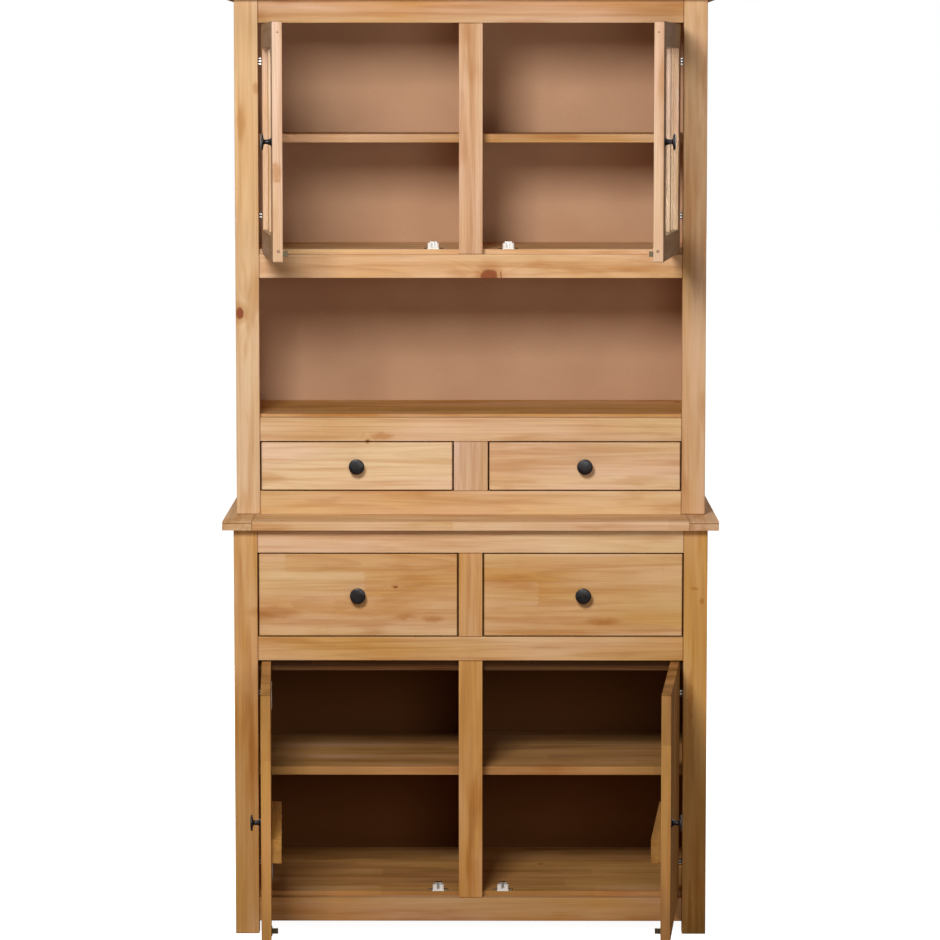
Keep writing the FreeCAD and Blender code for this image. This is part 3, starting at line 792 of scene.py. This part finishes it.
slot_of = {part["node"]: part["material_slot"] for part in frame["record"]["subparts"]}
WOOD_NODES = [node for node in frame["nodes"] if slot_of[node] == "pine"]
boards = {node: board_piece(node) for node in WOOD_NODES}
print("boards", len(boards), "with", sum(len(piece.data.polygons) for piece in boards.values()), "faces")

# %% [markdown]
# ## Nodes that keep their shape
# The panes, the shelf pins and the thin backs already have the right shape, so they stay as they
# are and only take their finish.

# %% Finish the other nodes
FINISHES = {"back_panel": BACK_BOARD, "steel": STEEL, "catch": PLASTIC, "glass": GLASS, "knob": ENAMEL}
for node, slot in slot_of.items():
    if slot in FINISHES:
        carried = frame["nodes"][node]
        carried.data.materials.clear()
        carried.data.materials.append(FINISHES[slot])
print("nodes that take a finish:", sum(slot in FINISHES for slot in slot_of.values()))

# %% [markdown]
# ## Knobs
# The knobs are turned: a small foot, a waist that fingers fit behind, and a cap with a slightly
# domed face. A lathe is a profile swept round an axis, so each knob is rings of points joined by
# faces, with the profile smoothed between a few listed radii. The knob is made on its closed
# door and then turned with it.

# %% Turned knobs
KNOB_RADIUS = 15 * MM
KNOB_OUT = 19 * MM
KNOB_TURNS = 48
KNOB_STEPS = 4
KNOB_PROFILE = ((0.54, 0.0), (0.53, 0.05), (0.42, 0.14), (0.33, 0.3), (0.28, 0.5), (0.3, 0.66), (0.45, 0.75),
                (0.8, 0.79), (0.96, 0.82), (1.0, 0.87), (0.985, 0.93), (0.9, 0.985), (0.6, 1.02), (0.25, 1.035))


def smooth_line(points, steps):
    """A line through a few points, rounded between them."""
    line = []
    padded = [points[0]] + list(points) + [points[-1]]
    for a, b, c, d in zip(padded, padded[1:], padded[2:], padded[3:]):
        for step in range(steps):
            s = step / steps
            line.append([((2 * q) + (r - p) * s + (2 * p - 5 * q + 4 * r - t) * s ** 2
                          + (3 * q - p - 3 * r + t) * s ** 3) / 2 for p, q, r, t in zip(a, b, c, d)])
    return line + [list(points[-1])]


def lathe(profile, turns, place):
    """Rings of points round an axis that points forward, closed at both ends."""
    bm = bmesh.new()
    rings = []
    for radius, out in profile:
        ring = []
        for turn in range(turns):
            angle = math.tau * turn / turns
            ring.append(bm.verts.new(place @ Vector((radius * math.cos(angle), -out, radius * math.sin(angle)))))
        rings.append(ring)
    for near, far in zip(rings, rings[1:]):
        for i in range(turns):
            after = (i + 1) % turns
            bm.faces.new((near[i], near[after], far[after], far[i]))
    bm.faces.new(rings[0][::-1])
    bm.faces.new(rings[-1])
    bmesh.ops.recalc_face_normals(bm, faces=bm.faces[:])
    for face in bm.faces:
        face.smooth = len(face.verts) == 4
    return bm


def knob_piece(node):
    """A turned knob that stands for a knob node."""
    body, closed, low, high = closed_box(node)
    foot = Vector(((low.x + high.x) / 2, high.y, (low.z + high.z) / 2))
    profile = [(radius * KNOB_RADIUS, out * KNOB_OUT) for radius, out in smooth_line(KNOB_PROFILE, KNOB_STEPS)]
    bm = lathe(profile, KNOB_TURNS, closed.inverted() @ Matrix.Translation(foot))
    mesh, _ = joined(node + "_turned", [bm], [ENAMEL])
    return finished(node + "_turned", mesh, body, "knob", node)


knobs = [knob_piece(node) for node in slot_of if slot_of[node] == "knob"]
print("knobs", len(knobs))

# %% [markdown]
# ## Hinges, strikes and catches
# A hidden hinge is a pressed cup let into the door, an arm and a plate on the cabinet's side. On the
# inner face of each door a dark strike holds a small blade, and a catch on the cabinet's floor grips
# it between two white rollers in front of a metal clip. The shapes come from the frame with their
# corners eased. A strike and a screw ear are lower than what they belong to and get the dark finish.
# The base of each catch is lowered by a hair, so that a blade can pass over it.

# %% Hardware
HARD_EDGE = 0.25 * MM
EAR_HIGH = 3 * MM
STRIKE_TALL = 20 * MM
CATCH_EDGE = 0.8 * MM
CATCH_BASE = 2 * MM
BLADE_ROOM = 0.2 * MM
ROLLER_DEEP = 10 * MM
SAME_LEVEL = 0.05 * MM
hardware_boxes = {}


def hardware_piece(node, name, slot, finish, low_limit=0.0, eased=HARD_EDGE):
    """A copy of a node with slightly rounded corners, whose solids below a height are dark."""
    solids = solids_of(node, eased)
    hardware_boxes[node] = [box for bm, box in solids]
    finishes = [ZINC if high.z - low.z < low_limit else finish for low, high in hardware_boxes[node]]
    mesh, _ = joined(name, [bm for bm, box in solids], finishes)
    return finished(name, mesh, body_of(node), slot, node)


fittings = [node for node in slot_of if node.endswith("_fittings")]
for node in fittings:
    hardware_piece(node, node + "_pressed", "steel", STEEL, STRIKE_TALL)
hardware_piece("hinge_arms", "hinge_arms_pressed", "steel", RIBBED)
catches = hardware_piece("door_catches", "door_catches_moulded", "catch", PLASTIC, EAR_HIGH, CATCH_EDGE)
catches.data.materials.append(STEEL)
clip_finish = len(catches.data.materials) - 1
lowered = 0
for low, high in hardware_boxes["door_catches"]:
    if high.z - low.z > EAR_HIGH:
        for polygon in catches.data.polygons:
            x, y, z = polygon.center
            behind = low.x <= x <= high.x and low.y + ROLLER_DEEP < y < high.y + HARD_EDGE
            if behind and low.z + EAR_HIGH < z < high.z + HARD_EDGE:
                polygon.material_index = clip_finish
        for vertex in catches.data.vertices:
            if low.x <= vertex.co.x <= high.x and abs(vertex.co.z - low.z - CATCH_BASE) < SAME_LEVEL:
                vertex.co.z -= BLADE_ROOM
                lowered += 1
print("catch corners lowered to let the blades pass:", lowered)
print("hardware solids", {node: len(boxes) for node, boxes in hardware_boxes.items()})

# %% [markdown]
# ## A tree for screw heads
# Screws repeat all over the hardware, so one geometry tree makes them. Inside the tree a flattened
# ball loses a cross from its top and is set on every point, facing the way that the point's
# "facing" says and turned by a random angle with a fixed seed. The sizes are named inputs, and the
# instances are made real at the end, because the export would lose them.


# %% Geometry tree helpers
def new_tree(name, *sizes, **others):
    """A geometry tree with named inputs, and its way in and way out."""
    tree = bpy.data.node_groups.new(name, "GeometryNodeTree")
    for label, kind in {"Geometry": "Geometry", **dict.fromkeys(sizes, "Float"), **others}.items():
        tree.interface.new_socket(label, in_out="INPUT", socket_type="NodeSocket" + kind)
    tree.interface.new_socket("Geometry", in_out="OUTPUT", socket_type="NodeSocketGeometry")
    return tree, put(tree, "NodeGroupInput"), put(tree, "NodeGroupOutput")


def finish_tree(geometry, material, way_out):
    """Makes the instances real and gives them their finish."""
    real = put(geometry.tree, "GeometryNodeRealizeInstances", {0: geometry})[0]
    way_out.feed({0: put(geometry.tree, "GeometryNodeSetMaterial", {"Geometry": real, "Material": material})[0]})


def flat_ball(tree, segments, rings, *scale):
    """A ball with its own scale along each axis."""
    sockets = {"Segments": segments, "Rings": rings, "Radius": 1.0}
    ball = put(tree, "GeometryNodeMeshUVSphere", sockets)["Mesh"]
    return put(tree, "GeometryNodeTransform", {"Geometry": ball, "Scale": vector_of(*scale)})[0]


def grown(tree, source, sizes):
    """Runs a tree on a mesh and returns the plain mesh that comes out."""
    carrier = in_scene("carrier", source)
    modifier = carrier.modifiers.new("tree", "NODES")
    modifier.node_group = tree
    for item in tree.interface.items_tree:
        if item.in_out == "INPUT" and item.name in sizes:
            modifier[item.identifier] = sizes[item.name]
    depsgraph = bpy.context.evaluated_depsgraph_get()
    mesh = bpy.data.meshes.new_from_object(carrier.evaluated_get(depsgraph), depsgraph=depsgraph)
    carrier.modifiers.remove(modifier)
    bpy.data.objects.remove(carrier)
    return mesh


# %% Screw tree
HEAD_SEGMENTS, HEAD_RINGS = 20, 12


def screw_tree():
    """Screw heads on points, each facing its own way."""
    tree, start, end = new_tree("screw_heads", "Head Radius", "Head Height", "Slot Wide", "Slot Deep", Seed="Int",
                                Finish="Material")
    radius, height, wide = start["Head Radius"], start["Head Height"], start["Slot Wide"]
    dome = flat_ball(tree, HEAD_SEGMENTS, HEAD_RINGS, radius, radius, height)
    cross = put(tree, "GeometryNodeJoinGeometry")
    long = radius * 1.2
    up = vector_of(0.0, 0.0, height + (radius * 0.5 - start["Slot Deep"]))
    for sides in ((long, wide, radius), (wide, long, radius)):
        bar = put(tree, "GeometryNodeMeshCube", {"Size": vector_of(*sides)})["Mesh"]
        cross.feed({0: put(tree, "GeometryNodeTransform", {"Geometry": bar, "Translation": up})[0]})
    head = put(tree, "GeometryNodeMeshBoolean", {0: dome, 1: cross[0]}, operation="DIFFERENCE")[0]
    facing = put(tree, "GeometryNodeInputNamedAttribute", {"Name": "facing"}, data_type="FLOAT_VECTOR")[0]
    aimed = put(tree, "FunctionNodeAlignRotationToVector", {"Vector": facing}, axis="Z")[0]
    angle = put(tree, "FunctionNodeRandomValue", {2: 0.0, 3: math.pi, "Seed": start["Seed"]}, data_type="FLOAT")[1]
    spin = put(tree, "FunctionNodeEulerToRotation", {0: vector_of(0.0, 0.0, angle)})[0]
    turned = put(tree, "FunctionNodeRotateRotation", {0: aimed, 1: spin}, rotation_space="LOCAL")[0]
    size = put(tree, "GeometryNodeInputNamedAttribute", {"Name": "size"}, data_type="FLOAT")[0]
    points = put(tree, "GeometryNodeMeshToPoints", {"Mesh": start["Geometry"]})[0]
    sockets = {"Points": points, "Instance": head, "Rotation": turned, "Scale": size}
    finish_tree(put(tree, "GeometryNodeInstanceOnPoints", sockets)[0], start["Finish"], end)
    return tree


SCREWS = screw_tree()
print("screw tree has", len(SCREWS.nodes), "nodes")

# %% [markdown]
# ## Where the screws sit
# The places follow from the boxes of the hardware. A cup's flange has a screw above and below the
# cup, a plate on the side has two, a strike has one above and one below its blade, a catch has one
# in each ear, and each batten is screwed to its door in three places. The doors are thought of as
# closed and the points are turned with them.

# %% Screw places
FLANGE_SCREW = 21 * MM
PLATE_SCREWS = (9 * MM, 31 * MM)
PLATE_THICK = 6 * MM
STRIKE_SCREW = 6.4 * MM
STRIKE_THICK = 1.5 * MM
CUP_RADIUS = 17.5 * MM
BATTEN_SCREWS = (0.1, 0.5, 0.9)
FLANGE_SIZE, STRIKE_SIZE, EAR_SIZE, BATTEN_SIZE = 0.8, 0.42, 0.75, 1.1
FACE_SINK = 0.15 * MM
SCREW_CREASE = 35
HEAD_CREASE = 60
SCREW_SIZES = {"Head Radius": 3.4 * MM, "Head Height": 1.1 * MM, "Slot Wide": 0.9 * MM, "Slot Deep": 0.9 * MM,
               "Seed": 5, "Finish": STEEL}
INWARD = Vector((0, 1, 0))
screw_points = {}


def swung(body, point, facing):
    """A place and a direction on a closed door, as they are with the door open."""
    back = to_closed(body).inverted()
    return back @ Vector(point), back.to_3x3() @ Vector(facing)


def add_screw(body, point, facing, size=1.0):
    """Notes a screw on a body, from its place with the door closed."""
    sunk = Vector(point) - FACE_SINK * Vector(facing)
    screw_points.setdefault(body, []).append((*swung(body, sunk, facing), size))


for node in fittings:
    for low, high in hardware_boxes[node]:
        middle = (low + high) / 2
        if high.z - low.z > STRIKE_TALL:
            across = low.x + CUP_RADIUS if middle.x > 0 else high.x - CUP_RADIUS
            face, step, size = high.y, FLANGE_SCREW, FLANGE_SIZE
        else:
            across, face, step, size = middle.x, low.y + STRIKE_THICK, STRIKE_SCREW, STRIKE_SIZE
        for way in (-1, 1):
            add_screw(body_of(node), (across, face, middle.z + way * step), INWARD, size)

for low, high in hardware_boxes["hinge_arms"]:
    outward = math.copysign(1, low.x + high.x)
    side = high.x if outward > 0 else low.x
    for back in PLATE_SCREWS:
        spot = (side - outward * PLATE_THICK, high.y - back, (low.z + high.z) / 2)
        add_screw("case", spot, (-outward, 0, 0))

for low, high in hardware_boxes["door_catches"]:
    if high.z - low.z < EAR_HIGH:
        add_screw("case", ((low.x + high.x) / 2, (low.y + high.y) / 2, high.z), (0, 0, 1), EAR_SIZE)

for side in ("left", "right"):
    body, _, low, high = closed_box(f"lower_door_{side}_batten")
    for share in BATTEN_SCREWS:
        spot = (low.x + share * (high.x - low.x), high.y, (low.z + high.z) / 2)
        add_screw(body, spot, INWARD, BATTEN_SIZE)


def points_mesh(points):
    """A mesh of loose points that carry what the screw tree reads."""
    mesh = plain_mesh("points", [place for place, aim, size in points])
    add_attributes(mesh, {"facing": "FLOAT_VECTOR", "size": "FLOAT"})
    for i, (place, aim, size) in enumerate(points):
        mesh.attributes["facing"].data[i].vector = aim
        mesh.attributes["size"].data[i].value = size
    return mesh


def smooth_shaded(mesh, angle):
    """Shades a mesh smooth, but for its sharp edges."""
    for polygon in mesh.polygons:
        polygon.use_smooth = True
    mesh.set_sharp_from_angle(angle=math.radians(angle))
    return mesh


for body, points in screw_points.items():
    mesh = smooth_shaded(grown(SCREWS, points_mesh(points), SCREW_SIZES), SCREW_CREASE)
    finished(body + "_screws", mesh, body, "steel")
    print(body, "has", len(points), "screws")

# %% [markdown]
# ## Dowel plugs
# On the free edge of each glazed door, a small dark plug marks where a dowel holds the stile to its
# rail. The plugs are the same heads on points as the screws, but flatter, and the cross stays clear
# above them so that it cuts nothing.

# %% Dowel plugs
PLUG_FROM_END = 20 * MM
PLUG_BACK = 1 * MM
PLUG_LOW_SIZE, PLUG_HIGH_SIZE = 1.5, 0.9
CROSS_CLEAR = 0.2 * MM
PLUG_SIZES = {"Head Radius": 2.0 * MM, "Head Height": 0.35 * MM, "Slot Wide": 0.1 * MM, "Slot Deep": -CROSS_CLEAR,
              "Seed": 1, "Finish": PLUG}

for side, outward in (("left", -1), ("right", 1)):
    body, _, low, high = closed_box(f"upper_door_{side}_frame")
    free = low.x if outward > 0 else high.x
    points = []
    for level, size in ((low.z + PLUG_FROM_END, PLUG_LOW_SIZE), (high.z - PLUG_FROM_END, PLUG_HIGH_SIZE)):
        spot = (free, (low.y + high.y) / 2 + PLUG_BACK, level)
        points.append((*swung(body, spot, (-outward, 0, 0)), size))
    mesh = smooth_shaded(grown(SCREWS, points_mesh(points), PLUG_SIZES), HEAD_CREASE)
    finished(body + "_dowel_plugs", mesh, body, "pine")
    print(body, "has", len(points), "dowel plugs")

# %% [markdown]
# ## Glazing beads
# A pane is held in its rebate by thin beads pinned behind it, two tall ones and two short ones
# between them. A bead is a small square section with rounded corners that follows a straight line,
# so a tree sweeps the section along each edge of a mesh and closes its ends.


# %% Bead tree
def bead_tree():
    """A rounded square section swept along straight edges."""
    tree, start, end = new_tree("glazing_beads", "Bead Size", "Corner", Finish="Material")
    lines = put(tree, "GeometryNodeMeshToCurve", {"Mesh": start["Geometry"]})[0]
    sides = {"Width": start["Bead Size"], "Height": start["Bead Size"]}
    square = put(tree, "GeometryNodeCurvePrimitiveQuadrilateral", sides)[0]
    section = put(tree, "GeometryNodeFilletCurve", {"Curve": square, "Radius": start["Corner"]})[0]
    swept = put(tree, "GeometryNodeCurveToMesh", {"Curve": lines, "Profile Curve": section, "Fill Caps": True})[0]
    finish_tree(swept, start["Finish"], end)
    return tree


BEADS = bead_tree()
BEAD = 5.6 * MM
BEAD_CORNER = 1.2 * MM
for side in ("left", "right"):
    node = f"upper_door_{side}_glass"
    body, closed, low, high = closed_box(node)
    half = BEAD / 2
    y = high.y + half
    x0, x1, z0, z1 = low.x + half, high.x - half, low.z + half, high.z - half
    spots = [(x0, y, low.z), (x0, y, high.z), (x1, y, low.z), (x1, y, high.z),
             (x0 + half, y, z0), (x1 - half, y, z0), (x0 + half, y, z1), (x1 - half, y, z1)]
    lines = plain_mesh("bead_lines", spots, [(0, 1), (2, 3), (4, 5), (6, 7)])
    mesh = grown(BEADS, lines, {"Bead Size": BEAD, "Corner": BEAD_CORNER, "Finish": PINE})
    add_attributes(mesh, GRAIN_FACTS)
    write_grain(mesh, (0, len(mesh.vertices)), Matrix.Identity(4), (low, high), node)
    mesh.transform(closed.inverted())
    finished(body + "_glazing_beads", mesh, body, "pine")
    print(body, "beads reach y", round(y + half, 4))

# %% [markdown]
# ## Pins round the back
# The thin back boards are pinned to the carcass at even steps. A tree cuts the line round each back
# into equal lengths and sets a small round head on every cut.


# %% Pin rows
PIN_SEGMENTS, PIN_RINGS = 12, 6


def pin_tree():
    """Small round heads at even steps along edges, facing the back."""
    tree, start, end = new_tree("pin_rows", "Spacing", "Head Radius", "Head Height", Seed="Int", Finish="Material")
    radius = start["Head Radius"]
    line = put(tree, "GeometryNodeMeshToCurve", {"Mesh": start["Geometry"]})[0]
    steps = put(tree, "GeometryNodeResampleCurve", {"Curve": line, "Length": start["Spacing"]}, mode="LENGTH")[0]
    head = flat_ball(tree, PIN_SEGMENTS, PIN_RINGS, radius, start["Head Height"], radius)
    size = put(tree, "FunctionNodeRandomValue", {2: 0.85, 3: 1.1, "Seed": start["Seed"]}, data_type="FLOAT")[1]
    sockets = {"Points": steps, "Instance": head, "Scale": size}
    finish_tree(put(tree, "GeometryNodeInstanceOnPoints", sockets)[0], start["Finish"], end)
    return tree


PINS = pin_tree()
PIN_IN = 9 * MM
PIN_SIZES = {"Spacing": 90 * MM, "Head Radius": 1.9 * MM, "Head Height": 0.6 * MM, "Seed": 3, "Finish": ZINC}

ROUND = ((0, 0), (1, 0), (1, 1), (0, 1))
spots, edges = [], []
for node in ("lower_back_panel", "upper_back_panel"):
    low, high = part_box(node)
    first = len(spots)
    across, up = (low.x + PIN_IN, high.x - PIN_IN), (low.z + PIN_IN, high.z - PIN_IN)
    spots += [(across[i], high.y, up[j]) for i, j in ROUND]
    edges += [(first + i, first + (i + 1) % 4) for i in range(4)]
pins = smooth_shaded(grown(PINS, plain_mesh("pin_lines", spots, edges), PIN_SIZES), HEAD_CREASE)
finished("back_pins", pins, "case", "steel")
print("pins", len(pins.polygons) // (PIN_SEGMENTS * PIN_RINGS))

# %% [markdown]
# ## Floor, backdrop and light
# The photograph is a plain catalogue cut-out on white. A pale floor keeps the cabinet's soft shadow
# near its feet and turns to the same white as the background further out, so no horizon shows.
# The floor under real furniture sends up little light, and that light is warm, so this one is darker
# and browner to every ray but the camera's, and the light that fills the shade is warm too. The
# shadows in the bays say where the lamps stood: a soft one higher than the top, almost three metres
# in front and to the left, and a weaker one lower down. Two more behind light the sides and the
# back. They make no shine, because it would glare along the faces of the open doors.

# %% Stage
FLOOR_ENDS = (-30.0, 30.0)
NEAR_FLOOR = 0.55
FAR_FLOOR = 1.5
SHADOW_FLOOR = 0.95
FLOOR_LIGHT = (0.3, 0.2, 0.12, 1)
FLOOR_SEEN = (0.8, 0.8, 0.8, 1)
WHITE = (1, 1, 1, 1)
AMBIENT = 0.052
SHADE_TINT = (1.0, 0.75, 0.41, 1)
LAMP_COLOUR = (1.0, 0.985, 0.96)


def floor_material():
    """A floor that the camera sees as near white, and as white further from the cabinet."""
    material, tree, shader = new_material("white_floor", 0.9)
    ray = put(tree, "ShaderNodeLightPath")
    seen = calc("MAXIMUM", ray["Is Camera Ray"], ray["Is Transmission Ray"])
    away = vector_calc("LENGTH", object_place(tree))["Value"]
    glow = spread(away, NEAR_FLOOR, FAR_FLOOR, SHADOW_FLOOR, 1.0)
    shader.feed({"Base Color": blend_colour(seen, FLOOR_LIGHT, FLOOR_SEEN), "Emission Color": WHITE,
                 "Emission Strength": seen * glow})
    return material


floor_corners = [(FLOOR_ENDS[i], FLOOR_ENDS[j], 0) for i, j in ROUND]
floor_mesh = plain_mesh("studio_floor", floor_corners, faces=[(0, 1, 2, 3)])
floor_mesh.materials.append(floor_material())
floor = in_scene("studio_floor", floor_mesh)

world = bpy.data.worlds.new("white_world")
bpy.context.scene.world = world
world.use_nodes = True
sky = world.node_tree
ray = put(sky, "ShaderNodeLightPath")
mirrored = calc("MAXIMUM", ray["Is Camera Ray"], ray["Is Glossy Ray"])
shown = calc("MAXIMUM", mirrored, ray["Is Transmission Ray"])
strength = spread(shown, 0, 1, AMBIENT, 1.0, smooth=False)
Made(sky, sky.nodes["Background"]).feed({"Color": blend_colour(shown, SHADE_TINT, WHITE), "Strength": strength})


def soft_lamp(name, place, target, size, power):
    """A square area lamp aimed at a point, which the camera doesn't see."""
    data = bpy.data.lights.new(name, "AREA")
    data.shape = "SQUARE"
    data.size = size
    data.energy = power
    data.color = LAMP_COLOUR
    lamp = in_scene(name, data)
    lamp.location = place
    lamp.rotation_euler = (Vector(target) - Vector(place)).to_track_quat("-Z", "Y").to_euler()
    lamp.visible_camera = False
    return lamp


soft_lamp("key_lamp", (-0.6, -2.75, 2.4), (0, 0, 1.05), 0.8, 80)
soft_lamp("fill_lamp", (0.45, -3.1, 1.2), (0, 0, 0.6), 1.0, 17)
for side, across in (("left", -1.6), ("right", 1.6)):
    back_lamp = soft_lamp(f"back_{side}_lamp", (across, 3.9, 2.8), (0, 0, 1.0), 1.2, 60)
    back_lamp.visible_glossy = False
print("lamps:", [data.name for data in bpy.data.lights])
bpy.context.scene.view_settings.view_transform = "Standard"
